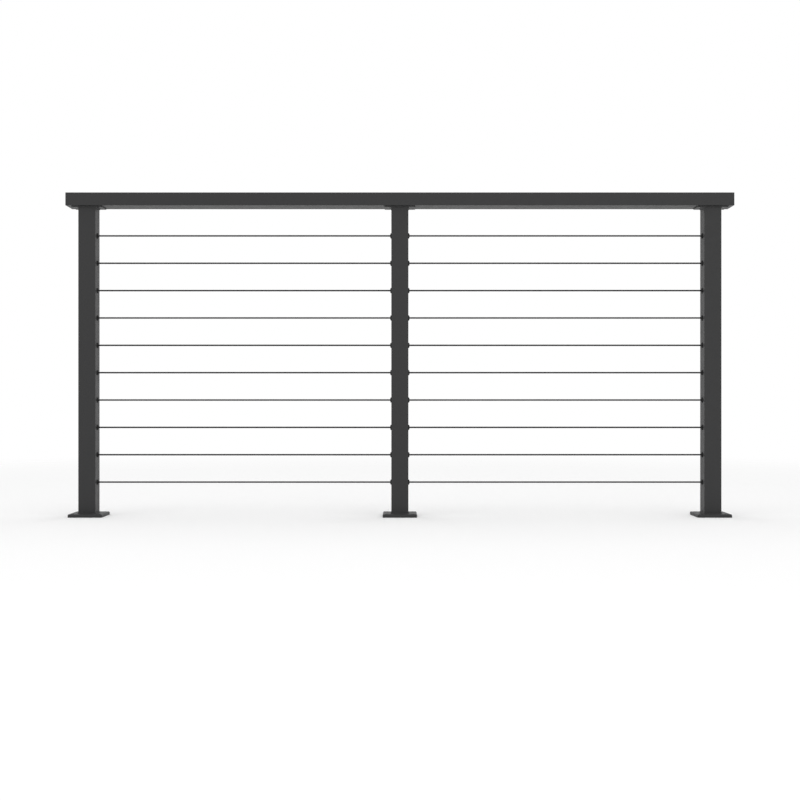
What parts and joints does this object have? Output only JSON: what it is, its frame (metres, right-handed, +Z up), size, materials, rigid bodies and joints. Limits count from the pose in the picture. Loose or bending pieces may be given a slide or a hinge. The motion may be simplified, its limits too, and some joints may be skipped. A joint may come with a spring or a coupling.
{
  "type": "cable deck railing section",
  "caption": "Straight deck railing section: square tube posts on bolted base plates carry a flat top rail and taut horizontal cables that pass through domed grommets.",
  "frame": {"origin": "centre of the middle base plate's underside, on the deck surface", "axes": "+Z up, +X along the top rail to the right as the picture shows it, +Y away from the camera"},
  "size_m": [1.9812, 0.1016, 0.962],
  "materials": {
    "powder_coat": "fine satin charcoal-black powder coat",
    "cap_plastic": "matt black moulded plastic, close to the rail's colour",
    "black_wire": "black oxidised stainless wire strand",
    "grommet_plastic": "matt black moulded plastic, darker than the posts",
    "screw_steel": "black oxidised countersunk screws"
  },
  "bodies": {
    "root": {"top_rail": "powder_coat", "post_left": "powder_coat", "base_plate_left": "powder_coat", "top_plate_left": "powder_coat", "post_middle": "powder_coat", "base_plate_middle": "powder_coat", "top_plate_middle": "powder_coat", "post_right": "powder_coat", "base_plate_right": "powder_coat", "top_plate_right": "powder_coat", "rail_cap_left": "cap_plastic", "rail_cap_right": "cap_plastic", "cable_01": "black_wire", "cable_02": "black_wire", "cable_03": "black_wire", "cable_04": "black_wire", "cable_05": "black_wire", "cable_06": "black_wire", "cable_07": "black_wire", "cable_08": "black_wire", "cable_09": "black_wire", "cable_10": "black_wire", "grommets_left_post": "grommet_plastic", "grommets_middle_post_left": "grommet_plastic", "grommets_middle_post_right": "grommet_plastic", "grommets_right_post": "grommet_plastic", "cable_anchors_left": "grommet_plastic", "cable_anchors_right": "grommet_plastic"}
  },
  "joints": []
}
